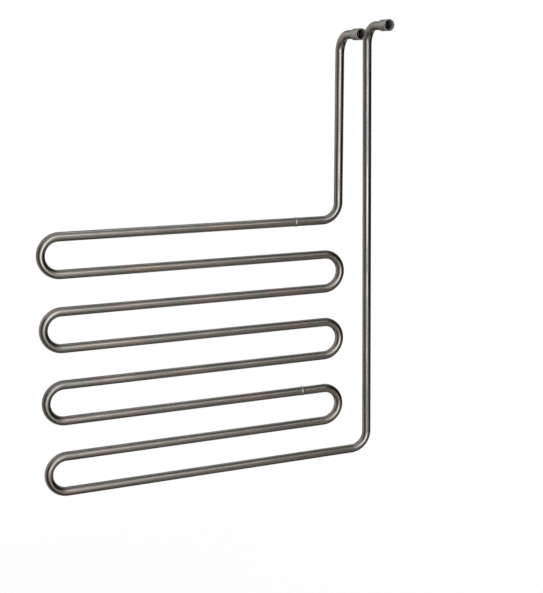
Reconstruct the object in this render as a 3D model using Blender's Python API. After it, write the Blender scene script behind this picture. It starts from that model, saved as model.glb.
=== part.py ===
"""Serpentine tube heat exchanger, the kind that hangs in a tank or bath.

Three lengths of bent steel tube are butt welded into one path: down the short inlet riser,
eight times across the coil, and back up the long outlet riser. A threaded socket is welded
to each end. Units are metres, +Z is up, the runs lie along X and the sockets face -Y.

The layout is measured from the left end of the lowest run: X from the line where the left
U-bends begin, Z from that run's axis, and Y from the flat plane that holds the coil. An empty
then carries everything to the part's own origin, the middle of its footprint at the bottom.
"""

import math

import bmesh
import bpy
from mathutils import Matrix, Vector

# Tube and bends
TUBE_DIAMETER = 0.025
TUBE_WALL = 0.0015
BEND_RADIUS = 0.050

# Coil: a hairpin is two runs joined by one left U-bend
SERPENTINE_HAIRPINS = 3
OUTLET_HAIRPINS = 1
RUN_STRAIGHT = 0.778

# Risers, measured across from where the right U-bends begin, and up from the top run
INLET_RISER_OFFSET = 0.042
OUTLET_RISER_OFFSET = 0.147
INLET_HEIGHT = 0.520
OUTLET_HEIGHT = 0.545
OUTLET_LEAN_DEG = 0.9
SOCKET_REACH = 0.125

# Butt welds, set back along their runs from where the right U-bends begin
UPPER_WELD_SETBACK = 0.093
LOWER_WELD_SETBACK = 0.071
BUTT_WELD_WIDTH = 0.010
BUTT_WELD_CROWN = 0.0010

# Threaded sockets for 3/4 inch pipe
SOCKET_DIAMETER = 0.032
SOCKET_LENGTH = 0.038
THREAD_MINOR_DIAMETER = 0.0241
THREAD_MOUTH_DIAMETER = 0.0276
SOCKET_EDGE_CHAMFER = 0.0006
FILLET_WELD_LEG = 0.0055
FILLET_WELD_BULGE = 0.0005

# Clearance between pieces that touch
JOINT_GAP = 0.0003

# Facets
TUBE_SIDES = 24
SOCKET_SIDES = 32
BEND_STEP_DEG = 15.0
WELD_ARC_STEPS = 4
SMOOTH_ANGLE_DEG = 40.0

TUBE_RADIUS = TUBE_DIAMETER / 2
BORE_RADIUS = TUBE_RADIUS - TUBE_WALL
RUN_PITCH = 2 * BEND_RADIUS
RUN_COUNT = 2 * (SERPENTINE_HAIRPINS + OUTLET_HAIRPINS)
TOP_RUN_Z = (RUN_COUNT - 1) * RUN_PITCH
SERPENTINE_END_Z = (2 * OUTLET_HAIRPINS) * RUN_PITCH
INLET_RISER_X = RUN_STRAIGHT + INLET_RISER_OFFSET
OUTLET_RISER_X = RUN_STRAIGHT + OUTLET_RISER_OFFSET
UPPER_WELD_X = RUN_STRAIGHT - UPPER_WELD_SETBACK
LOWER_WELD_X = RUN_STRAIGHT - LOWER_WELD_SETBACK
INLET_SOCKET_Z = TOP_RUN_Z + INLET_HEIGHT
OUTLET_SOCKET_Z = TOP_RUN_Z + OUTLET_HEIGHT
OUTLET_LEAN = math.radians(OUTLET_LEAN_DEG)
STUB_LENGTH = SOCKET_REACH - SOCKET_LENGTH - JOINT_GAP - BEND_RADIUS
WELD_HALF_GAP = BUTT_WELD_WIDTH / 2 + JOINT_GAP

RIGHT = Vector((1, 0, 0))
LEFT = Vector((-1, 0, 0))
BACK = Vector((0, 1, 0))
FRONT = Vector((0, -1, 0))
UP = Vector((0, 0, 1))
DOWN = Vector((0, 0, -1))


def steel(name, color, roughness):
    """A metal finish with the piece's own colour."""
    material = bpy.data.materials.new(name)
    material.use_nodes = True
    shader = material.node_tree.nodes["Principled BSDF"]
    shader.inputs["Base Color"].default_value = (*color, 1.0)
    shader.inputs["Metallic"].default_value = 1.0
    shader.inputs["Roughness"].default_value = roughness
    material.diffuse_color = (*color, 1.0)
    return material


def finish(name, bm, material, place, parent):
    """Turn a bmesh into a named object at its place."""
    bmesh.ops.recalc_face_normals(bm, faces=bm.faces)
    mesh = bpy.data.meshes.new(name)
    bm.to_mesh(mesh)
    bm.free()
    mesh.shade_smooth()
    mesh.set_sharp_from_angle(angle=math.radians(SMOOTH_ANGLE_DEG))
    mesh.materials.append(material)
    piece = bpy.data.objects.new(name, mesh)
    piece.location = place
    piece.parent = parent
    bpy.context.collection.objects.link(piece)


class Bender:
    """A tube made the way a bending machine makes it: fed straight, or drawn round a former.

    The open annular end of the tube is extruded for each straight length and spun for each
    bend, so the wall keeps its thickness and the bore runs all the way through.
    """

    def __init__(self, start, heading):
        self.start = Vector(start)
        self.at = Vector(start)
        self.heading = heading.copy()
        self.bm = bmesh.new()
        turn = UP.rotation_difference(heading).to_matrix().to_4x4()
        circles = [
            bmesh.ops.create_circle(self.bm, segments=TUBE_SIDES, radius=radius, matrix=turn)
            for radius in (TUBE_RADIUS, BORE_RADIUS)
        ]
        rims = list({e for circle in circles for v in circle["verts"] for e in v.link_edges})
        bmesh.ops.bridge_loops(self.bm, edges=rims)
        self.end = [*self.bm.verts, *self.bm.edges, *self.bm.faces]

    def feed(self, length):
        """Push a straight length of tube through."""
        self.end = bmesh.ops.extrude_face_region(self.bm, geom=self.end)["geom"]
        verts = [part for part in self.end if isinstance(part, bmesh.types.BMVert)]
        bmesh.ops.translate(self.bm, verts=verts, vec=self.heading * length)
        self.at += self.heading * length

    def bend(self, toward, degrees):
        """Draw the tube round the former, which lies on the side named by toward."""
        axis = self.heading.cross(toward)
        centre = self.at + toward * BEND_RADIUS
        angle = math.radians(degrees)
        self.end = bmesh.ops.spin(
            self.bm,
            geom=self.end,
            cent=centre - self.start,
            axis=axis,
            angle=angle,
            steps=max(2, round(degrees / BEND_STEP_DEG)),
            use_duplicate=False,
        )["geom_last"]
        turn = Matrix.Rotation(angle, 3, axis)
        self.at = centre + turn @ (self.at - centre)
        self.heading = turn @ self.heading

    def cut_off(self, name, material, parent):
        """End the tube and keep it as a piece that starts where the tube started."""
        finish(name, self.bm, material, self.start, parent)


def turned(profile, sides):
    """Spin a closed outline of (radius, distance along -Y) points round the Y axis."""
    bm = bmesh.new()
    ring = [bm.verts.new((radius, -along, 0)) for radius, along in profile]
    edges = [bm.edges.new((a, b)) for a, b in zip(ring, ring[1:] + ring[:1])]
    bmesh.ops.spin(
        bm,
        geom=ring + edges,
        cent=(0, 0, 0),
        axis=BACK,
        angle=math.tau,
        steps=sides,
        use_merge=True,
        use_duplicate=False,
    )
    return bm


def bulged(start, end, bulge, steps):
    """Points along a shallow arc from start to end, standing out by bulge at its middle."""
    start = Vector(start)
    end = Vector(end)
    chord = end - start
    outward = Vector((chord.y, -chord.x)).normalized()
    points = []
    for step in range(steps + 1):
        along = step / steps
        rise = bulge * 4 * along * (1 - along)
        points.append(tuple(start + chord * along + outward * rise))
    return points


def make_inlet_tube(material, parent):
    """From the inlet socket down the short riser to the weld on the top run."""
    tube = Bender((INLET_RISER_X, -BEND_RADIUS - STUB_LENGTH, INLET_SOCKET_Z), BACK)
    tube.feed(STUB_LENGTH)
    tube.bend(DOWN, 90)
    tube.feed(INLET_HEIGHT - 2 * BEND_RADIUS)
    tube.bend(LEFT, 90)
    tube.feed(INLET_RISER_X - BEND_RADIUS - UPPER_WELD_X - WELD_HALF_GAP)
    tube.cut_off("inlet_riser_tube", material, parent)
    return tube.start


def make_serpentine_tube(material, parent):
    """From the upper weld down through the hairpins to the lower weld."""
    tube = Bender((UPPER_WELD_X - WELD_HALF_GAP, 0, TOP_RUN_Z), LEFT)
    tube.feed(UPPER_WELD_X - WELD_HALF_GAP)
    tube.bend(DOWN, 180)
    for _ in range(SERPENTINE_HAIRPINS - 1):
        tube.feed(RUN_STRAIGHT)
        tube.bend(DOWN, 180)
        tube.feed(RUN_STRAIGHT)
        tube.bend(DOWN, 180)
    tube.feed(LOWER_WELD_X - WELD_HALF_GAP)
    tube.cut_off("serpentine_tube", material, parent)


def make_outlet_tube(material, parent):
    """From the lower weld through the last runs and up the long, slightly leaning riser."""
    tube = Bender((LOWER_WELD_X + WELD_HALF_GAP, 0, SERPENTINE_END_Z), RIGHT)
    tube.feed(RUN_STRAIGHT - LOWER_WELD_X - WELD_HALF_GAP)
    for hairpin in range(OUTLET_HAIRPINS):
        tube.bend(DOWN, 180)
        tube.feed(RUN_STRAIGHT)
        tube.bend(DOWN, 180)
        if hairpin < OUTLET_HAIRPINS - 1:
            tube.feed(RUN_STRAIGHT)
    tube.feed(OUTLET_RISER_X - BEND_RADIUS)
    tube.bend(UP, 90 + OUTLET_LEAN_DEG)
    climb = OUTLET_SOCKET_Z - tube.at.z
    tube.feed(climb / math.cos(OUTLET_LEAN) - BEND_RADIUS)
    tube.bend(FRONT, 90)
    tube.feed(STUB_LENGTH)
    tube.cut_off("outlet_riser_tube", material, parent)
    return tube.at


def make_butt_weld(name, place, material, parent):
    """The bead between two tube ends, as thick as the wall and crowned outside."""
    half = BUTT_WELD_WIDTH / 2
    crown = bulged((TUBE_RADIUS, -half), (TUBE_RADIUS, half), BUTT_WELD_CROWN, WELD_ARC_STEPS)
    profile = [(BORE_RADIUS, half), (BORE_RADIUS, -half)] + crown
    bm = turned(profile, TUBE_SIDES)
    bmesh.ops.rotate(bm, verts=bm.verts, cent=(0, 0, 0), matrix=Matrix.Rotation(math.pi / 2, 3, "Z"))
    finish(name, bm, material, place, parent)


def make_socket(name, tube_end, material, parent):
    """A full pipe socket, bored to the thread's crests, with its mouth opened by a chamfer."""
    outer = SOCKET_DIAMETER / 2
    bore = THREAD_MINOR_DIAMETER / 2
    mouth = THREAD_MOUTH_DIAMETER / 2
    lead_in = mouth - bore
    edge = SOCKET_EDGE_CHAMFER
    profile = [
        (bore, lead_in),
        (mouth, 0),
        (outer - edge, 0),
        (outer, edge),
        (outer, SOCKET_LENGTH - edge),
        (outer - edge, SOCKET_LENGTH),
        (mouth, SOCKET_LENGTH),
        (bore, SOCKET_LENGTH - lead_in),
    ]
    place = tube_end + FRONT * JOINT_GAP
    finish(name, turned(profile, SOCKET_SIDES), material, place, parent)


def make_fillet_weld(name, tube_end, material, parent):
    """The bead in the corner between the tube and the back of its socket."""
    inner = TUBE_RADIUS + JOINT_GAP
    rim = SOCKET_DIAMETER / 2 - SOCKET_EDGE_CHAMFER
    slope = bulged((inner, -FILLET_WELD_LEG), (rim, 0), FILLET_WELD_BULGE, WELD_ARC_STEPS)
    profile = slope + [(inner, 0)]
    finish(name, turned(profile, SOCKET_SIDES), material, tube_end, parent)


def coil_frame():
    """The empty that sets the part's origin at the middle of its footprint."""
    left = -BEND_RADIUS - TUBE_RADIUS
    right = OUTLET_RISER_X + TUBE_RADIUS
    front = -SOCKET_REACH
    back = TUBE_RADIUS + BUTT_WELD_CROWN
    frame = bpy.data.objects.new("coil_frame", None)
    frame.location = (-(left + right) / 2, -(front + back) / 2, TUBE_RADIUS)
    bpy.context.collection.objects.link(frame)
    return frame


def main():
    for old in list(bpy.data.objects):
        bpy.data.objects.remove(old, do_unlink=True)

    tube_steel = steel("satin_tube_steel", (0.42, 0.40, 0.38), 0.32)
    socket_steel = steel("turned_socket_steel", (0.45, 0.46, 0.46), 0.42)
    weld_steel = steel("weld_steel", (0.50, 0.48, 0.45), 0.38)

    frame = coil_frame()
    inlet_end = make_inlet_tube(tube_steel, frame)
    make_serpentine_tube(tube_steel, frame)
    outlet_end = make_outlet_tube(tube_steel, frame)

    make_butt_weld("upper_butt_weld", (UPPER_WELD_X, 0, TOP_RUN_Z), weld_steel, frame)
    make_butt_weld("lower_butt_weld", (LOWER_WELD_X, 0, SERPENTINE_END_Z), weld_steel, frame)

    for side, tube_end in (("inlet", inlet_end), ("outlet", outlet_end)):
        make_socket(f"{side}_socket", tube_end, socket_steel, frame)
        make_fillet_weld(f"{side}_socket_weld", tube_end, weld_steel, frame)


main()
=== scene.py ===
# %% [markdown]
# # A serpentine tube heat exchanger
#
# The object is one flat coil of bent stainless tube with two risers, and each riser ends in a
# threaded socket. The solids already have the right size. This script gives every piece a finer
# surface and its real finish, then lights it like a studio photograph on white.

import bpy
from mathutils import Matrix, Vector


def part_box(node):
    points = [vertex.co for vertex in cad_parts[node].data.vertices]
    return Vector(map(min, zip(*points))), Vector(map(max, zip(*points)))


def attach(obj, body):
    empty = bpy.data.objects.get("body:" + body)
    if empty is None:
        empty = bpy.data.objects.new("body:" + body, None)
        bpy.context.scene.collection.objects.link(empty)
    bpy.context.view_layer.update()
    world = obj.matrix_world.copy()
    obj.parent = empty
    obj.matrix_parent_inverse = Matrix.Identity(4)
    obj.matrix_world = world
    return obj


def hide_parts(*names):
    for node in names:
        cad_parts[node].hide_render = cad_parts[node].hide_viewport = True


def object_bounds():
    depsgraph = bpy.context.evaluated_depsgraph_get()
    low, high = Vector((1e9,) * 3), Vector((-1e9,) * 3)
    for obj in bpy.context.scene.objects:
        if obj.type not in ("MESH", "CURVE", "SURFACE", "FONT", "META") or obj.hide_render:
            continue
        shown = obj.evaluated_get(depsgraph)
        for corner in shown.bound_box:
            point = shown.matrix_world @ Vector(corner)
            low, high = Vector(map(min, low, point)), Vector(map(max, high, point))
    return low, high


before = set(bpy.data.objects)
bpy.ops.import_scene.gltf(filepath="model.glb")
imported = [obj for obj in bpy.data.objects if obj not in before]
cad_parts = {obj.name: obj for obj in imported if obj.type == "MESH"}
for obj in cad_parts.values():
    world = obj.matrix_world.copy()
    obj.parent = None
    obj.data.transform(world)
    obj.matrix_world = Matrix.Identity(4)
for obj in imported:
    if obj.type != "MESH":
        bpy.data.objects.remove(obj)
cad_low, cad_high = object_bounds()
print("frame loaded:", len(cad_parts), "nodes")

# %% Modules
import math

import bmesh
import bpy
from mathutils import Matrix, Vector, noise

# Metres times this are millimetres, for the prints.
MM = 1000.0
print("Blender", bpy.app.version_string)

# %% [markdown]
# ## Where everything is
#
# The coil was bent from one size of tube on one former, so a few numbers describe it. They could
# be typed in again, but then they might drift from the solids. Reading them off the boxes of the
# frame's nodes keeps both models the same, and only what a box can't tell is written down.

# %% Sizes that a box can't tell
BEND_RADIUS = 0.050
TUBE_WALL = 0.0015
OUTLET_LEAN = math.radians(0.9)
SERPENTINE_HAIRPINS = 3
print(f"bends of {BEND_RADIUS * MM:.0f} mm, walls of {TUBE_WALL * MM:.1f} mm")

# %% Sizes read from the frame
serpentine_low, serpentine_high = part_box("serpentine_tube")
inlet_low, inlet_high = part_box("inlet_riser_tube")
outlet_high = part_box("outlet_riser_tube")[1]

TUBE_RADIUS = (serpentine_high.y - serpentine_low.y) / 2
BORE_RADIUS = TUBE_RADIUS - TUBE_WALL
COIL_Y = serpentine_low.y + TUBE_RADIUS
LEFT_TANGENT_X = serpentine_low.x + BEND_RADIUS + TUBE_RADIUS
RIGHT_TANGENT_X = serpentine_high.x - BEND_RADIUS - TUBE_RADIUS
RUN_STRAIGHT = RIGHT_TANGENT_X - LEFT_TANGENT_X
TOP_RUN_Z = serpentine_high.z - TUBE_RADIUS
SERPENTINE_END_Z = serpentine_low.z + TUBE_RADIUS
INLET_RISER_X = inlet_high.x - TUBE_RADIUS
INLET_SOCKET_Z = inlet_high.z - TUBE_RADIUS
OUTLET_ELBOW_X = outlet_high.x - TUBE_RADIUS
TUBE_END_Y = inlet_low.y
STUB_LENGTH = COIL_Y - BEND_RADIUS - TUBE_END_Y
print(f"tube {2 * TUBE_RADIUS * MM:.1f} mm, runs {RUN_STRAIGHT * MM:.0f} mm straight")

# %% Directions
RIGHT = Vector((1, 0, 0))
LEFT = Vector((-1, 0, 0))
BACK = Vector((0, 1, 0))
FRONT = Vector((0, -1, 0))
UP = Vector((0, 0, 1))
DOWN = Vector((0, 0, -1))
QUARTER_TURN = math.pi / 2
HALF_TURN = math.pi
print("the sockets face", tuple(FRONT))


# %% Centres of the sockets and welds
def middle_of(node):
    """The middle of a node's box."""
    low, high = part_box(node)
    return (low + high) / 2


INLET_SOCKET = middle_of("inlet_socket")
OUTLET_SOCKET = middle_of("outlet_socket")
UPPER_WELD = middle_of("upper_butt_weld")
LOWER_WELD = middle_of("lower_butt_weld")
INLET_END = Vector((INLET_SOCKET.x, TUBE_END_Y, INLET_SOCKET.z))
OUTLET_END = Vector((OUTLET_SOCKET.x, TUBE_END_Y, OUTLET_SOCKET.z))
print("tubes end at", [round(v, 4) for v in (*INLET_END, *OUTLET_END)])

# %% [markdown]
# ## Camera
#
# The picture was taken from the left, a little above the coil, with a lens long enough to keep
# the runs nearly parallel. A camera could be nudged until the view looks right, but thin parallel
# tubes show the smallest error. So its place and lens come from matching the ends of all eight
# runs, rounded afterwards. A focal length in pixels turns into millimetres through the sensor,
# which spans the picture's longer side.

# %% Camera
PICTURE_HEIGHT_PX = 593
FOCAL_LENGTH_PX = 1184
CAMERA_PLACE = Vector((-1.192, -2.958, 1.171))
CAMERA_HEADING = math.radians(24.35)
CAMERA_PITCH = math.radians(-11.42)

camera_data = bpy.data.cameras.new("camera")
camera_data.lens = FOCAL_LENGTH_PX * camera_data.sensor_width / PICTURE_HEIGHT_PX
camera = bpy.data.objects.new("camera", camera_data)
camera.location = CAMERA_PLACE
camera.rotation_euler = (QUARTER_TURN + CAMERA_PITCH, 0, -CAMERA_HEADING)
bpy.context.collection.objects.link(camera)
bpy.context.scene.camera = camera
bpy.context.scene.view_settings.view_transform = "Standard"
print(f"lens {camera_data.lens:.1f} mm")

# %% [markdown]
# ## Node helpers
#
# A procedural finish is a chain of small nodes. Writing each one with its inputs in one call
# keeps the chains short enough to read.


# %% Node helpers
def new_material(name):
    """An empty node material with its output."""
    material = bpy.data.materials.new(name)
    material.use_nodes = True
    material.node_tree.nodes.clear()
    output = material.node_tree.nodes.new("ShaderNodeOutputMaterial")
    return material, material.node_tree, output


def add(tree, kind, inputs=None, **settings):
    """One node: settings are its properties, inputs are values or the sockets that feed it."""
    node = tree.nodes.new("ShaderNode" + kind)
    for key, value in settings.items():
        setattr(node, key, value)
    for key, value in (inputs or {}).items():
        if isinstance(value, bpy.types.NodeSocket):
            tree.links.new(value, node.inputs[key])
        else:
            node.inputs[key].default_value = value
    return node


def maths(tree, operation, a, b=0.0, c=0.0):
    """A Math node's result. Few operations read the third value."""
    return add(tree, "Math", {0: a, 1: b, 2: c}, operation=operation).outputs[0]


def spread(tree, value, low, high, to_low=0.0, to_high=1.0):
    """Map a value from one range to another, smoothly and clamped."""
    inputs = {"Value": value, "From Min": low, "From Max": high, "To Min": to_low, "To Max": to_high}
    return add(tree, "MapRange", inputs, interpolation_type="SMOOTHSTEP").outputs["Result"]


def blend_colors(tree, fac, a, b):
    """Two colours mixed by a factor. Inputs 6 and 7 and output 2 are the node's colours."""
    return add(tree, "Mix", {0: fac, 6: a, 7: b}, data_type="RGBA").outputs[2]


print("node helpers are ready")

# %% [markdown]
# ## White room
#
# The photograph shows the coil cut out on white. A white background could be made by flooding
# the room with light, but that would bleach the steel. Instead the world and the floor look white
# to the camera, and to the metal where no studio wall hides them, but give less light than that.
# So the lamps still leave the coil's soft shadow. The coil hangs, so the floor lies well below it.

# %% World
WORLD_LIGHT = 0.75


def seen_by_eye_or_metal(tree):
    """1 for camera, mirrored and refracted rays, and 0 for the rays that only carry light."""
    rays = add(tree, "LightPath").outputs
    mirrored = maths(tree, "MAXIMUM", rays["Is Glossy Ray"], rays["Is Transmission Ray"])
    return maths(tree, "MAXIMUM", rays["Is Camera Ray"], mirrored)


world = bpy.data.worlds.new("white_room")
world.use_nodes = True
bpy.context.scene.world = world
world_tree = world.node_tree
world_tree.nodes.clear()
world_level = spread(world_tree, seen_by_eye_or_metal(world_tree), 0.0, 1.0, WORLD_LIGHT, 1.0)
background = add(world_tree, "Background", {"Color": (1, 1, 1, 1), "Strength": world_level})
world_output = add(world_tree, "OutputWorld")
world_tree.links.new(background.outputs[0], world_output.inputs["Surface"])
print("world: white, with light at", WORLD_LIGHT)

# %% Floor
FLOOR_Z = -0.80
FLOOR_RADIUS = 10.0
FLOOR_SIDES = 96
FLOOR_PAPER = (0.82, 0.82, 0.82, 1)
FLOOR_GLOW = 0.36
LIT_FLOOR_RADIUS = 1.4
WHITE_FLOOR_RADIUS = 2.6


def floor_material():
    """Matt paper with a faint glow near the coil, and an even white glow further out."""
    material, tree, output = new_material("white_floor")
    place = add(tree, "TexCoord").outputs["Object"]
    distance = add(tree, "VectorMath", {0: place}, operation="LENGTH").outputs["Value"]
    far = spread(tree, distance, LIT_FLOOR_RADIUS, WHITE_FLOOR_RADIUS)
    paper = add(tree, "BsdfDiffuse", {"Color": FLOOR_PAPER}).outputs[0]
    seen = seen_by_eye_or_metal(tree)
    glow = maths(tree, "MULTIPLY", seen, FLOOR_GLOW)
    near_glow = add(tree, "Emission", {"Strength": glow}).outputs[0]
    far_glow = add(tree, "Emission", {"Strength": seen}).outputs[0]
    lit = add(tree, "AddShader", {0: paper, 1: near_glow}).outputs[0]
    mixed = add(tree, "MixShader", {0: far, 1: lit, 2: far_glow}).outputs[0]
    tree.links.new(mixed, output.inputs["Surface"])
    return material


floor_bm = bmesh.new()
bmesh.ops.create_circle(
    floor_bm,
    cap_ends=True,
    segments=FLOOR_SIDES,
    radius=FLOOR_RADIUS,
    matrix=Matrix.Translation((0, 0, FLOOR_Z)),
)
floor_mesh = bpy.data.meshes.new("floor")
floor_bm.to_mesh(floor_mesh)
floor_bm.free()
floor_mesh.materials.append(floor_material())
floor = bpy.data.objects.new("floor", floor_mesh)
bpy.context.collection.objects.link(floor)
print("floor at", FLOOR_Z)

# %% [markdown]
# ## Dim studio with two softboxes
#
# Satin tube is a soft mirror, so it shows the room more than its own colour. In an all-white room
# it looks flat. The photograph's tubes show one sharp bright band between two nearly black ones,
# which a dim room gives when two softboxes and a bright silk stand in front of the coil. The walls
# are one shell of dark paper round the coil, with paler soft-edged panels on it. Only the metal
# sees the shell, so the lamps still light the floor. Everything is placed by its direction from
# the coil: azimuth 0 is straight in front, and positive azimuth is to the right.

# %% Directions round the coil
COIL_MIDDLE = (cad_low + cad_high) / 2


def seen_from_coil(azimuth, elevation, distance):
    """A place in the room, by its direction in degrees from the middle of the coil."""
    azimuth = math.radians(azimuth)
    elevation = math.radians(elevation)
    across = math.cos(elevation)
    sideways = math.sin(azimuth) * across
    forward = math.cos(azimuth) * across
    return COIL_MIDDLE + Vector((sideways, -forward, math.sin(elevation))) * distance


print("the coil's middle is at", [round(v, 4) for v in COIL_MIDDLE])


# %% Softboxes
def softbox(name, azimuth, elevation, distance, half_width, half_height, radiance, tint):
    """A rectangular lamp, given by its direction, half the angle it covers and its brightness."""
    data = bpy.data.lights.new(name, "AREA")
    data.shape = "RECTANGLE"
    data.size = 2 * distance * math.tan(math.radians(half_width))
    data.size_y = 2 * distance * math.tan(math.radians(half_height))
    data.energy = radiance * math.pi * data.size * data.size_y
    data.color = tint
    lamp = bpy.data.objects.new(name, data)
    lamp.location = seen_from_coil(azimuth, elevation, distance)
    lamp.rotation_mode = "QUATERNION"
    lamp.rotation_quaternion = (COIL_MIDDLE - lamp.location).to_track_quat("-Z", "Y")
    lamp.visible_camera = False
    bpy.context.collection.objects.link(lamp)


softbox(
    "upper_softbox",
    azimuth=9,
    elevation=25,
    distance=7.0,
    half_width=19,
    half_height=12,
    radiance=0.9,
    tint=(1.0, 0.96, 0.93),
)
softbox(
    "lower_softbox",
    azimuth=-15,
    elevation=-10,
    distance=4.4,
    half_width=20,
    half_height=12,
    radiance=0.55,
    tint=(1.0, 1.0, 1.0),
)

# %% Wall paper with soft panels
DARK_PAPER = (0.0, 0.0, 0.0)


def soft_window(tree, angle, half, fade):
    """1 near zero and 0 far from it, with a smooth fade round half. All are in radians."""
    off = maths(tree, "ABSOLUTE", angle)
    return spread(tree, off, half - fade / 2, half + fade / 2, 1.0, 0.0)


class WallPaper:
    """The walls' colour, with soft panels added one by one. All angles are in degrees."""

    def __init__(self):
        self.material, self.tree, self.output = new_material("studio_wall_paper")
        place = add(self.tree, "TexCoord").outputs["Object"]
        direction = add(self.tree, "VectorMath", {0: place}, operation="NORMALIZE").outputs[0]
        axes = add(self.tree, "SeparateXYZ", {0: direction}).outputs
        forward = maths(self.tree, "MULTIPLY", axes["Y"], -1.0)
        self.azimuth = maths(self.tree, "ARCTAN2", axes["X"], forward)
        self.elevation = maths(self.tree, "ARCSINE", axes["Z"])
        self.color = DARK_PAPER

    def panel(self, azimuth, elevation, half_width, half_height, fade, color):
        """Add the light of one soft-edged panel to what is there."""
        tree = self.tree
        fade = math.radians(fade)
        turned = maths(tree, "SUBTRACT", self.azimuth, math.radians(azimuth))
        wrapped = maths(tree, "WRAP", turned, math.pi, -math.pi)
        raised = maths(tree, "SUBTRACT", self.elevation, math.radians(elevation))
        across = soft_window(tree, wrapped, math.radians(half_width), fade)
        upright = soft_window(tree, raised, math.radians(half_height), fade)
        mask = maths(tree, "MULTIPLY", across, upright)
        lit = add(tree, "VectorMath", {0: color, "Scale": mask}, operation="SCALE").outputs[0]
        self.color = add(tree, "VectorMath", {0: self.color, 1: lit}, operation="ADD").outputs[0]

    def finish(self):
        """The material, glowing with the panels that were added."""
        paper = add(self.tree, "Emission", {"Color": self.color})
        self.tree.links.new(paper.outputs[0], self.output.inputs["Surface"])
        return self.material


wall_paper = WallPaper()
print("wall paper starts dark:", DARK_PAPER)

# %% [markdown]
# ## The panels
#
# A photographer hangs silk in front of the lamps and stands white boards round the object. A
# picture of a studio on the shell would do the same, but it can't be changed a little at a time.
# Each panel here is one board or one piece of lit wall, so each line on the steel can be traced
# to it and moved.

# %% The panels
# The first is the silk, which every tube shows as its bright band. A warmer halo lies round it.
wall_paper.panel(-10, 5, half_width=14, half_height=25, fade=18, color=(1.45, 1.55, 1.65))
wall_paper.panel(-10, 5, half_width=35, half_height=40, fade=40, color=(0.40, 0.35, 0.30))
# Dim walls on both sides and behind give the paler lines next to the tubes' dark edges.
wall_paper.panel(-45, 10, half_width=10, half_height=30, fade=20, color=(0.33, 0.29, 0.27))
wall_paper.panel(-130, 10, half_width=35, half_height=80, fade=30, color=(0.49, 0.44, 0.41))
wall_paper.panel(140, 0, half_width=20, half_height=80, fade=15, color=(0.35, 0.35, 0.33))
# The stubs behind the sockets lie nearly along the line of sight and mirror the wall behind.
wall_paper.panel(180, 25, half_width=35, half_height=20, fade=20, color=(0.30, 0.30, 0.29))
# The tops of the runs mirror the ceiling, and their undersides the floor.
wall_paper.panel(95, 55, half_width=5, half_height=45, fade=20, color=(0.5, 0.5, 0.5))
wall_paper.panel(-20, 65, half_width=70, half_height=30, fade=20, color=(0.4, 0.4, 0.4))
wall_paper.panel(150, 75, half_width=70, half_height=10, fade=20, color=(0.75, 0.75, 0.75))
wall_paper.panel(15, -55, half_width=60, half_height=35, fade=15, color=(0.22, 0.20, 0.18))
print("wall paper nodes:", len(wall_paper.tree.nodes))

# %% Studio walls
WALL_RADIUS = 8.5
WALL_SEGMENTS = 64
WALL_RINGS = 32
GAP_OVER_FLOOR = 0.02


def studio_walls():
    """A ball round the coil, flattened just above the floor."""
    bm = bmesh.new()
    bmesh.ops.create_uvsphere(bm, u_segments=WALL_SEGMENTS, v_segments=WALL_RINGS, radius=WALL_RADIUS)
    lowest = FLOOR_Z + GAP_OVER_FLOOR - COIL_MIDDLE.z
    for vert in bm.verts:
        if vert.co.z < lowest:
            vert.co *= lowest / vert.co.z
    mesh = bpy.data.meshes.new("studio_walls")
    bm.to_mesh(mesh)
    bm.free()
    mesh.materials.append(wall_paper.finish())
    walls = bpy.data.objects.new("studio_walls", mesh)
    walls.location = COIL_MIDDLE
    walls.visible_camera = False
    walls.visible_diffuse = False
    walls.visible_shadow = False
    bpy.context.collection.objects.link(walls)


studio_walls()
print("walls at", WALL_RADIUS, "m")

# %% [markdown]
# ## Patterns that follow the metal
#
# Drawn stainless tube has a fine grain along its length, so a pattern in the room's coordinates
# would run across the grain at every bend. The tubes are therefore made with a memory: each point
# keeps the place that it had on the straight tube before bending, as an attribute named stock.
# Noise that is stretched along stock's Z follows the tube through every bend. The turned pieces
# have a stock too, and its Z is the length along their outline.


# %% Patterns on the stock
def streaks(tree, waves, detail=2.0):
    """Noise from 0 to 1, with its waves per metre given across the stock and along it."""
    across, along = waves
    stock = add(tree, "Attribute", attribute_name="stock", attribute_type="GEOMETRY").outputs["Vector"]
    inputs = {0: stock, 1: (across, across, along)}
    place = add(tree, "VectorMath", inputs, operation="MULTIPLY").outputs[0]
    return add(tree, "TexNoise", {"Vector": place, "Scale": 1.0, "Detail": detail}).outputs["Fac"]


def bare_metal(tree, output, color, roughness, relief, strength, depth):
    """Metal with a fine relief, led to the material's output."""
    bump = add(tree, "Bump", {"Strength": strength, "Distance": depth, "Height": relief}).outputs[0]
    inputs = {"Base Color": color, "Metallic": 1.0, "Roughness": roughness, "Normal": bump}
    metal = add(tree, "BsdfPrincipled", inputs)
    tree.links.new(metal.outputs[0], output.inputs["Surface"])


print("pattern helpers are ready")

# %% [markdown]
# ## Satin tube steel
#
# The tube was drawn, brushed and then handled, so it is neither even nor mirror bright. Warm and
# grey patches a hand long pass into each other, and thin darker lines run with the grain. Some
# places are a little duller, where the brush pressed harder. A flat grey metal has the right mean
# colour but looks like plastic, so each of these three has its own noise.

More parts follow.
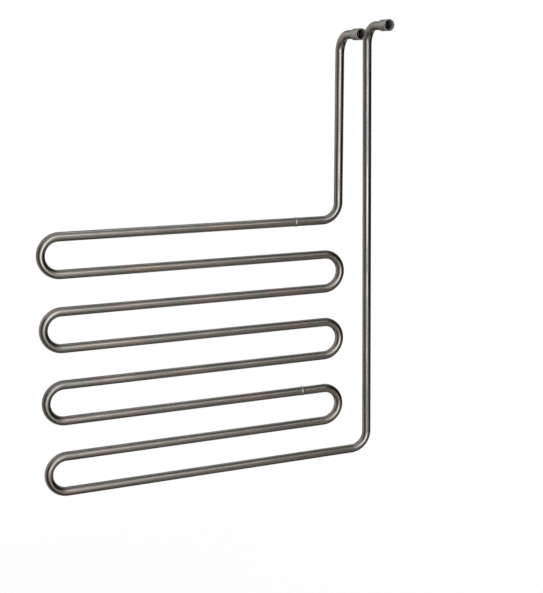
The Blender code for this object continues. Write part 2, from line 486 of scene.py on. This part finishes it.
# %% Tube steel
# Noise seldom leaves its middle values, so a pattern is spread out from one of these two ranges.
CLOUD_SPREAD = (0.35, 0.65)
LINE_SPREAD = (0.3, 0.7)
TUBE_WARM = (0.450, 0.415, 0.389, 1)
TUBE_GREY = (0.383, 0.386, 0.369, 1)
TUBE_PATCHES = (12, 6)
TUBE_LINES = (260, 4)
TUBE_DULL_PLACES = (40, 12)
TUBE_GRAIN = (1400, 14)
TUBE_ROUGHNESS = (0.23, 0.33)
LINE_SHADES = (0.88, 1.08)
DULL_SHADES = (1.06, 0.94)
GRAIN_STRENGTH = 0.35
GRAIN_DEPTH = 0.00004


def tube_material():
    """Satin steel with warm and grey patches, fine lines and duller places."""
    material, tree, output = new_material("satin_tube_steel")
    patches = spread(tree, streaks(tree, TUBE_PATCHES), *CLOUD_SPREAD)
    bands = spread(tree, streaks(tree, TUBE_LINES), *LINE_SPREAD)
    dull = spread(tree, streaks(tree, TUBE_DULL_PLACES), *CLOUD_SPREAD)
    color = blend_colors(tree, patches, TUBE_WARM, TUBE_GREY)
    lines = spread(tree, bands, 0, 1, *LINE_SHADES)
    worn = spread(tree, dull, 0, 1, *DULL_SHADES)
    shade = maths(tree, "MULTIPLY", lines, worn)
    color = add(tree, "VectorMath", {0: color, "Scale": shade}, operation="SCALE").outputs[0]
    roughness = spread(tree, dull, 0, 1, *TUBE_ROUGHNESS)
    grain = streaks(tree, TUBE_GRAIN)
    bare_metal(tree, output, color, roughness, grain, GRAIN_STRENGTH, GRAIN_DEPTH)
    return material


TUBE_STEEL = tube_material()
print("finish:", TUBE_STEEL.name)

# %% [markdown]
# ## Bending the tubes
#
# A bender feeds the tube forward and draws it round a former. The same two moves build the mesh:
# the open ring at the tube's end is extruded and pushed forward, or extruded and turned. A bevelled
# curve would be quicker, but it gives no bore, no ends and no record of the grain. Drawing a tube
# round a former also squashes it a little towards the bend's centre, most in the middle of the
# bend, so each ring in a bend is narrowed that way and widened the other way.

# %% Bender
TUBE_SIDES = 64
FEED_STEP = 0.040
SHORTEST_FEED_STEPS = 2
BEND_STEP = math.radians(3.75)
BEND_OVALITY = 0.07


class Bender:
    """Feeds and bends a hollow tube, and keeps each point's place on the straight stock."""

    def __init__(self, start, heading):
        self.at = Vector(start)
        self.heading = heading.copy()
        self.fed = 0.0
        self.bm = bmesh.new()
        self.stock = self.bm.verts.layers.float_vector.new("stock")
        circles = []
        for radius in (TUBE_RADIUS, BORE_RADIUS):
            circle = bmesh.ops.create_circle(self.bm, segments=TUBE_SIDES, radius=radius)
            circles += circle["verts"]
        rims = list({edge for vert in circles for edge in vert.link_edges})
        bmesh.ops.bridge_loops(self.bm, edges=rims)
        for vert in self.bm.verts:
            vert[self.stock] = vert.co
        turn = UP.rotation_difference(heading).to_matrix().to_4x4()
        bmesh.ops.transform(self.bm, verts=self.bm.verts, matrix=Matrix.Translation(start) @ turn)
        self.end = [*self.bm.verts, *self.bm.edges, *self.bm.faces]

    def advance(self, length):
        """A new ring at the end of the tube, still where the old one is."""
        self.end = bmesh.ops.extrude_face_region(self.bm, geom=self.end)["geom"]
        self.fed += length
        ring = [part for part in self.end if isinstance(part, bmesh.types.BMVert)]
        for vert in ring:
            vert[self.stock].z = self.fed
        return ring

    def feed(self, length):
        """Straight tube, in steps short enough for even shading."""
        steps = max(SHORTEST_FEED_STEPS, math.ceil(length / FEED_STEP))
        for _ in range(steps):
            ring = self.advance(length / steps)
            bmesh.ops.translate(self.bm, verts=ring, vec=self.heading * (length / steps))
        self.at += self.heading * length

    def bend(self, toward, angle):
        """Tube drawn round the former on the side named by toward."""
        axis = self.heading.cross(toward)
        centre = self.at + toward * BEND_RADIUS
        steps = round(angle / BEND_STEP)
        turn = Matrix.Rotation(angle / steps, 3, axis)
        last_oval = 0.0
        for step in range(1, steps + 1):
            ring = self.advance(BEND_RADIUS * angle / steps)
            bmesh.ops.rotate(self.bm, verts=ring, cent=centre, matrix=turn)
            self.at = centre + turn @ (self.at - centre)
            oval = BEND_OVALITY * math.sin(math.pi * step / steps)
            outward = (self.at - centre).normalized()
            self.stretch(ring, outward, (1 - oval) / (1 - last_oval))
            self.stretch(ring, axis, (1 + oval) / (1 + last_oval))
            last_oval = oval
        self.heading = Matrix.Rotation(angle, 3, axis) @ self.heading

    def stretch(self, ring, along, scale):
        """Scale a ring about its middle in one direction."""
        for vert in ring:
            vert.co += along * ((vert.co - self.at).dot(along) * (scale - 1))


print("bender set to", math.degrees(BEND_STEP), "degrees a step")

# %% [markdown]
# ## Finished pieces
#
# Every new piece ends in the same way. It is kept as a mesh with smooth sides and sharp rims,
# rides on the body, takes its material and stands in for its solid. One helper does this,
# so that no piece can miss a step.

# %% Finished pieces
SMOOTH_ANGLE = math.radians(40)


def finished(name, bm, material, slot, *replaced):
    """Keep a bmesh as a piece that rides on the body and stands for its solid."""
    bmesh.ops.recalc_face_normals(bm, faces=bm.faces)
    mesh = bpy.data.meshes.new(name)
    bm.to_mesh(mesh)
    bm.free()
    mesh.shade_smooth()
    mesh.set_sharp_from_angle(angle=SMOOTH_ANGLE)
    mesh.materials.append(material)
    piece = bpy.data.objects.new(name, mesh)
    bpy.context.collection.objects.link(piece)
    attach(piece, "root")
    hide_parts(*replaced)
    triangles = sum(len(face.vertices) - 2 for face in mesh.polygons)
    print(f"{name}: {triangles} triangles")


print(f"edges over {math.degrees(SMOOTH_ANGLE):.0f} degrees stay sharp")

# %% [markdown]
# ## The three tubes
#
# The coil is too long for one length of tube, so three were bent, and they meet at two welds. They
# could be one mesh here, but three walks of the bender keep the pieces that a workshop would have.
# Each walk reads like the bender's own list: feed, bend, feed, bend.

# %% Inlet tube
tube = Bender(INLET_END, BACK)
tube.feed(STUB_LENGTH)
tube.bend(DOWN, QUARTER_TURN)
tube.feed(INLET_SOCKET_Z - TOP_RUN_Z - 2 * BEND_RADIUS)
tube.bend(LEFT, QUARTER_TURN)
tube.feed(INLET_RISER_X - BEND_RADIUS - UPPER_WELD.x)
finished("inlet_tube", tube.bm, TUBE_STEEL, "tube_steel", "inlet_riser_tube")

# %% Serpentine tube
tube = Bender((UPPER_WELD.x, COIL_Y, TOP_RUN_Z), LEFT)
tube.feed(UPPER_WELD.x - LEFT_TANGENT_X)
tube.bend(DOWN, HALF_TURN)
for _ in range(SERPENTINE_HAIRPINS - 1):
    tube.feed(RUN_STRAIGHT)
    tube.bend(DOWN, HALF_TURN)
    tube.feed(RUN_STRAIGHT)
    tube.bend(DOWN, HALF_TURN)
tube.feed(LOWER_WELD.x - LEFT_TANGENT_X)
finished("coil_tube", tube.bm, TUBE_STEEL, "tube_steel", "serpentine_tube")

# %% Outlet tube
tube = Bender((LOWER_WELD.x, COIL_Y, SERPENTINE_END_Z), RIGHT)
tube.feed(RIGHT_TANGENT_X - LOWER_WELD.x)
tube.bend(DOWN, HALF_TURN)
tube.feed(RUN_STRAIGHT)
tube.bend(DOWN, HALF_TURN)
tube.feed(OUTLET_ELBOW_X - BEND_RADIUS - LEFT_TANGENT_X)
tube.bend(UP, QUARTER_TURN + OUTLET_LEAN)
climb = OUTLET_SOCKET.z - tube.at.z
tube.feed(climb / math.cos(OUTLET_LEAN) - BEND_RADIUS)
tube.bend(FRONT, QUARTER_TURN)
tube.feed(STUB_LENGTH)
finished("outlet_tube", tube.bm, TUBE_STEEL, "tube_steel", "outlet_riser_tube")
print(f"outlet tube ends {(tube.at - OUTLET_END).length * MM:.4f} mm from its socket")

# %% [markdown]
# ## Turned sockets
#
# A pipe socket is turned from round bar and then tapped. The body is one spun outline with rounded
# rims, bored out to the thread's roots. The thread is a ridge of its own, wound by a spin that also
# moves along the axis. A bump pattern would be quicker, but it leaves no crests to stand out from
# the dark bore. The mouth's chamfer cuts the first turns away, so points inside its cone are pushed
# out into the wall.

# %% Socket sizes
socket_low, socket_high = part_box("inlet_socket")
SOCKET_RADIUS = (socket_high.z - socket_low.z) / 2
SOCKET_LENGTH = socket_high.y - socket_low.y
SOCKET_SIDES = 128
MOUTH_Y = socket_low.y
MOUTH_RADIUS = 0.0143
RIM_ROUND = 0.0006
RIM_STEPS = 4
THREAD_PITCH = 0.001814
THREAD_ROOT_RADIUS = 0.01322
THREAD_CREST_RADIUS = 0.01206
THREADED_DEPTH = 0.030
STEPS_PER_THREAD = 64
print(f"thread: {THREADED_DEPTH / THREAD_PITCH:.1f} turns")


# %% Turning
def lathe_turned(bm, outline, sides):
    """Spin a closed outline of (radius, depth) points, and keep its length as the stock's Z."""
    stock = bm.verts.layers.float_vector["stock"]
    ring = [bm.verts.new((radius, depth, 0)) for radius, depth in outline]
    edges = [bm.edges.new(pair) for pair in zip(ring, ring[1:] + ring[:1])]
    cut = 0.0
    for vert, before in zip(ring, [ring[0]] + ring):
        cut += (vert.co - before.co).length
        vert[stock].z = cut
    bmesh.ops.spin(
        bm,
        geom=ring + edges,
        axis=BACK,
        angle=math.tau,
        steps=sides,
        use_merge=True,
        use_duplicate=False,
    )
    for vert in bm.verts:
        vert[stock].xy = vert.co.xz


def rounded(corner_radius, corner_depth, radius_side, depth_side):
    """A quarter round between two walls, given where its centre lies from the corner."""
    points = []
    for step in range(RIM_STEPS + 1):
        angle = QUARTER_TURN * step / RIM_STEPS
        off_radius = RIM_ROUND * (1 - math.sin(angle))
        off_depth = RIM_ROUND * (1 - math.cos(angle))
        points.append((corner_radius + radius_side * off_radius, corner_depth + depth_side * off_depth))
    return points


print(f"rims rounded by {RIM_ROUND * MM:.1f} mm")

# %% Tapping
# The ridge's half widths are shares of the pitch, and its foot lies inside the wall.
FOOT_HALF_WIDTH = 0.48
FOOT_SUNK = 0.0001
CREST_HALF_WIDTH = 0.14
CREST_ROUND = 0.0002
CHAMFER_SUNK = 0.00005


def wound_thread(bm):
    """A ridge that climbs inside the bore, closed at both ends."""
    lead = THREAD_PITCH / 2
    section = [
        (THREAD_ROOT_RADIUS + FOOT_SUNK, -FOOT_HALF_WIDTH),
        (THREAD_CREST_RADIUS + CREST_ROUND, -CREST_HALF_WIDTH),
        (THREAD_CREST_RADIUS, 0.0),
        (THREAD_CREST_RADIUS + CREST_ROUND, CREST_HALF_WIDTH),
        (THREAD_ROOT_RADIUS + FOOT_SUNK, FOOT_HALF_WIDTH),
    ]
    verts = [bm.verts.new((radius, lead + along * THREAD_PITCH, 0)) for radius, along in section]
    face = bm.faces.new(verts)
    turns = (THREADED_DEPTH - lead) / THREAD_PITCH
    steps = round(turns * STEPS_PER_THREAD)
    bmesh.ops.spin(
        bm,
        geom=[face, *face.edges, *face.verts],
        axis=BACK,
        dvec=BACK * (THREADED_DEPTH - lead) / steps,
        angle=math.tau * turns,
        steps=steps,
        use_duplicate=False,
    )


def chamfered_mouth(bm):
    """Push whatever stands inside the chamfer's cone back into the wall."""
    for vert in bm.verts:
        radius = math.hypot(vert.co.x, vert.co.z)
        cone = MOUTH_RADIUS - vert.co.y
        if radius < cone:
            vert.co.xz = vert.co.xz * ((cone + CHAMFER_SUNK) / radius)


print(f"thread stands {(THREAD_ROOT_RADIUS - THREAD_CREST_RADIUS) * MM:.2f} mm high")

# %% [markdown]
# ## Socket steel
#
# The sockets are duller than the tube, because a lathe leaves fine rings and nobody brushed them.
# The bores look black: their colour carries a painted shade, nearly black deep inside, where little
# light gets in, and lighter towards the mouth. Two materials could split the bore from the body, but
# the shade would end at a hard edge. So each point holds how much painted shade it takes, as an
# attribute, and the colour follows that.

# %% Socket steel
SOCKET_COLOR = (0.56, 0.585, 0.575, 1)
SOCKET_COLOR_DULL = (0.46, 0.48, 0.47, 1)
SOCKET_RINGS = (40, 5200)
SOCKET_CLOUDS = (160, 160)
CLOUD_DETAIL = 3.0
SOCKET_ROUGHNESS = (0.40, 0.50)
RING_STRENGTH = 0.4
RING_DEPTH = 0.00003
# Painted shade for the bore: nearly black deep inside, lifted towards the mouth over this depth.
BORE_SHADE_COLOR = (0.06, 0.059, 0.056, 1)
BORE_SHADE_DEPTH = 0.020
SHADE_LIFT_AT_MOUTH = 0.7
BORE_MARGIN = 0.00015


def socket_material():
    """Dull turned steel: rings from the tool's feed, uneven greying, and painted shade that darkens the
    bore.
    """
    material, tree, output = new_material("turned_socket_steel")
    rings = streaks(tree, SOCKET_RINGS)
    clouds = spread(tree, streaks(tree, SOCKET_CLOUDS, CLOUD_DETAIL), *CLOUD_SPREAD)
    color = blend_colors(tree, clouds, SOCKET_COLOR, SOCKET_COLOR_DULL)
    # The bore's painted shade, kept on the points, darkens the colour here.
    bore_shade = add(tree, "Attribute", attribute_name="bore_shade", attribute_type="GEOMETRY").outputs["Fac"]
    color = blend_colors(tree, bore_shade, color, BORE_SHADE_COLOR)
    roughness = spread(tree, clouds, 0, 1, *SOCKET_ROUGHNESS)
    bare_metal(tree, output, color, roughness, rings, RING_STRENGTH, RING_DEPTH)
    return material


def paint_bore_shade(bm):
    """Mark how much painted shade each point of the bore takes: full deep inside, less towards the
    mouth.
    """
    bore_shade = bm.verts.layers.float.new("bore_shade")
    for vert in bm.verts:
        if math.hypot(vert.co.x, vert.co.z) < THREAD_ROOT_RADIUS + BORE_MARGIN:
            near_mouth = max(0.0, 1 - vert.co.y / BORE_SHADE_DEPTH)
            vert[bore_shade] = 1 - SHADE_LIFT_AT_MOUTH * near_mouth * near_mouth


SOCKET_STEEL = socket_material()
print("finish:", SOCKET_STEEL.name)


# %% Sockets
def socket_outline():
    """The body's section as (radius, depth) points, from the mouth round the outside and back."""
    thread_run_out = THREAD_PITCH / 2
    outline = [(MOUTH_RADIUS, 0)]
    outline += rounded(SOCKET_RADIUS, 0, -1, 1)
    outline += rounded(SOCKET_RADIUS, SOCKET_LENGTH, -1, -1)[::-1]
    outline += [(THREAD_CREST_RADIUS, SOCKET_LENGTH)]
    outline += [(THREAD_CREST_RADIUS, THREADED_DEPTH + thread_run_out)]
    outline += [(THREAD_ROOT_RADIUS, THREADED_DEPTH - thread_run_out)]
    outline += [(THREAD_ROOT_RADIUS, MOUTH_RADIUS - THREAD_ROOT_RADIUS)]
    return outline


def thread_mesh():
    """The thread by itself, with its faces turned outwards."""
    bm = bmesh.new()
    bm.verts.layers.float_vector.new("stock")
    wound_thread(bm)
    chamfered_mouth(bm)
    bmesh.ops.recalc_face_normals(bm, faces=bm.faces)
    mesh = bpy.data.meshes.new("wound_thread")
    bm.to_mesh(mesh)
    bm.free()
    return mesh


def socket(name, centre, replaced):
    """Body and thread, built round the Y axis with the mouth at zero, then moved to its riser."""
    bm = bmesh.new()
    bm.verts.layers.float_vector.new("stock")
    lathe_turned(bm, socket_outline(), SOCKET_SIDES)
    thread = thread_mesh()
    bm.from_mesh(thread)
    bpy.data.meshes.remove(thread)
    # Paint shade into the bore, darkest away from the mouth.
    paint_bore_shade(bm)
    bmesh.ops.translate(bm, verts=bm.verts, vec=(centre.x, MOUTH_Y, centre.z))
    finished(name, bm, SOCKET_STEEL, "socket_steel", replaced)


socket("inlet_pipe_socket", INLET_SOCKET, "inlet_socket")
socket("outlet_pipe_socket", OUTLET_SOCKET, "outlet_socket")

# %% [markdown]
# ## Weld steel
#
# The beads were brushed clean after welding. They are paler than the tube, with fine scratches
# round them and a straw tint left by the heat where the brush missed. Painting the tint by hand
# would look placed, so a soft noise spreads it.

# %% Weld steel
WELD_COLOR = (0.52, 0.50, 0.47, 1)
WELD_STRAW = (0.44, 0.40, 0.33, 1)
WELD_TINT_CLOUDS = (150, 150)
WELD_TINT_SPREAD = (0.45, 0.7)
WELD_SCRATCHES = (90, 4200)
WELD_ROUGHNESS = (0.42, 0.52)
SCRATCH_STRENGTH = 0.4
SCRATCH_DEPTH = 0.00003


def weld_material():
    """Brushed bead: fine scratches round it, and a straw tint that the brush left in places."""
    material, tree, output = new_material("brushed_weld_steel")
    tint = spread(tree, streaks(tree, WELD_TINT_CLOUDS, CLOUD_DETAIL), *WELD_TINT_SPREAD)
    scratches = streaks(tree, WELD_SCRATCHES)
    color = blend_colors(tree, tint, WELD_COLOR, WELD_STRAW)
    roughness = spread(tree, scratches, *LINE_SPREAD, *WELD_ROUGHNESS)
    bare_metal(tree, output, color, roughness, scratches, SCRATCH_STRENGTH, SCRATCH_DEPTH)
    return material


WELD_STEEL = weld_material()
print("finish:", WELD_STEEL.name)

# %% [markdown]
# ## Weld beads
#
# A bead laid by hand is a row of overlapping puddles, each frozen in a crescent. The ripples could
# be a bump, but the bead's outline shows them too. So the bead is spun from an outline like the one
# in the solids, and then each point is moved along its normal by the ripple's height. The beads
# reach a little way under the tube's skin, which hides the small gap that the solids keep between
# the pieces.

# %% Beads
RIPPLE_LENGTH = 0.0016
RIPPLE_HEIGHT = 0.00012
RIPPLE_BOW = 1.1
STEPS_PER_RIPPLE = 6
WANDER_HEIGHT = 0.00018
WANDER_SCALE = 3
CROWN_STEPS = 10


def bead(name, centre, outline, turn, replaced):
    """Spin a bead, give it ripples and a slightly uneven height, and set it on its seam."""
    bm = bmesh.new()
    bm.verts.layers.float_vector.new("stock")
    ripples = round(math.tau * TUBE_RADIUS / RIPPLE_LENGTH)
    lathe_turned(bm, outline, ripples * STEPS_PER_RIPPLE)
    bmesh.ops.recalc_face_normals(bm, faces=bm.faces)
    bm.normal_update()
    depths = [depth for radius, depth in outline]
    middle = (min(depths) + max(depths)) / 2
    half = (max(depths) - min(depths)) / 2
    moves = []
    for vert in bm.verts:
        across = (vert.co.y - middle) / half
        angle = math.atan2(vert.co.z, vert.co.x)
        puddle = abs(math.sin((ripples * angle + RIPPLE_BOW * across * across) / 2))
        round_the_tube = (WANDER_SCALE * math.cos(angle), WANDER_SCALE * math.sin(angle), centre.z)
        wander = noise.noise(Vector(round_the_tube))
        outside = math.hypot(vert.co.x, vert.co.z) > TUBE_RADIUS
        height = (RIPPLE_HEIGHT * puddle + WANDER_HEIGHT * wander) * max(0.0, 1 - across * across)
        moves.append((vert, vert.normal * height * outside))
    for vert, move in moves:
        vert.co += move
    bmesh.ops.rotate(bm, verts=bm.verts, cent=(0, 0, 0), matrix=turn)
    bmesh.ops.translate(bm, verts=bm.verts, vec=centre)
    finished(name, bm, WELD_STEEL, "weld_steel", replaced)


def crowned(start, end, crown):
    """Points (radius, depth) along a shallow arc between two toes."""
    start = Vector(start)
    end = Vector(end)
    chord = end - start
    outward = Vector((-chord.y, chord.x)).normalized()
    if outward.x < 0:
        outward.negate()
    points = []
    for step in range(CROWN_STEPS + 1):
        along = step / CROWN_STEPS
        points.append(tuple(start + chord * along + outward * crown * 4 * along * (1 - along)))
    return points


print(f"ripples every {RIPPLE_LENGTH * MM:.1f} mm")

# %% Butt welds
weld_low, weld_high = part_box("upper_butt_weld")
BUTT_HALF_WIDTH = (weld_high.x - weld_low.x) / 2
BUTT_CROWN = (weld_high.z - weld_low.z) / 2 - TUBE_RADIUS
TOE_SUNK = 0.0003
TOE_RADIUS = TUBE_RADIUS - TOE_SUNK / 2
BUTT_ROOT_RADIUS = TUBE_RADIUS - 3 * TOE_SUNK
ALONG_THE_RUN = Matrix.Rotation(QUARTER_TURN, 3, "Z")

butt_outline = [(BUTT_ROOT_RADIUS, BUTT_HALF_WIDTH), (BUTT_ROOT_RADIUS, -BUTT_HALF_WIDTH)]
butt_outline += crowned((TOE_RADIUS, -BUTT_HALF_WIDTH), (TOE_RADIUS, BUTT_HALF_WIDTH), BUTT_CROWN)
bead("upper_weld_bead", UPPER_WELD, butt_outline, ALONG_THE_RUN, "upper_butt_weld")
bead("lower_weld_bead", LOWER_WELD, butt_outline, ALONG_THE_RUN, "lower_butt_weld")

# %% Fillet welds
fillet_low, fillet_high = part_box("inlet_socket_weld")
FILLET_TOE_Y = fillet_high.y - MOUTH_Y
FILLET_RIM_RADIUS = (fillet_high.z - fillet_low.z) / 2
FILLET_ROOT_RADIUS = TOE_RADIUS - TOE_SUNK
FILLET_START_Y = SOCKET_LENGTH - TOE_SUNK
FILLET_BULGE = 0.0005
UNTURNED = Matrix.Identity(3)

fillet_outline = [(FILLET_ROOT_RADIUS, FILLET_TOE_Y), (FILLET_ROOT_RADIUS, FILLET_START_Y)]
fillet_outline += [(FILLET_RIM_RADIUS, FILLET_START_Y)]
fillet_outline += crowned((FILLET_RIM_RADIUS, SOCKET_LENGTH), (TOE_RADIUS, FILLET_TOE_Y), FILLET_BULGE)
for name, middle, replaced in (
    ("inlet_fillet_bead", INLET_SOCKET, "inlet_socket_weld"),
    ("outlet_fillet_bead", OUTLET_SOCKET, "outlet_socket_weld"),
):
    bead(name, Vector((middle.x, MOUTH_Y, middle.z)), fillet_outline, UNTURNED, replaced)
